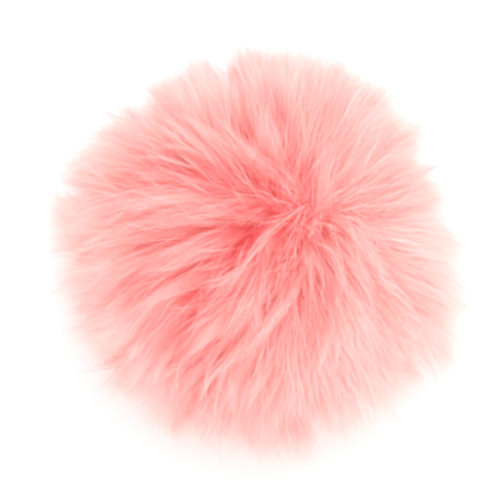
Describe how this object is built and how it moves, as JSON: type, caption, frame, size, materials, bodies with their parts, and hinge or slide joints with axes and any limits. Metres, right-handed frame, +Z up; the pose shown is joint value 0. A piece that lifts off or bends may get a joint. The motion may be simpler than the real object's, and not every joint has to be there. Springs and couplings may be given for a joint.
{
  "type": "pom pom",
  "caption": "Round long-pile fluffy pom pom trimming, its locks combed out from a crown near the top, resting on a small flat spot underneath.",
  "frame": {"origin": "middle of the small flat spot underneath, on the surface the pom pom rests on", "axes": "+Z up, away from the flat spot; the crown, where the pile parts, leans from +Z towards +X and a little towards +Y; -Y is the lower side of the picture seen from above"},
  "size_m": [0.1133, 0.1111, 0.0994],
  "materials": {
    "pile": "long soft coral-pink pile, deep coral at the roots and near white at the ends"
  },
  "bodies": {
    "root": {"pom_pom": "pile"}
  },
  "joints": []
}
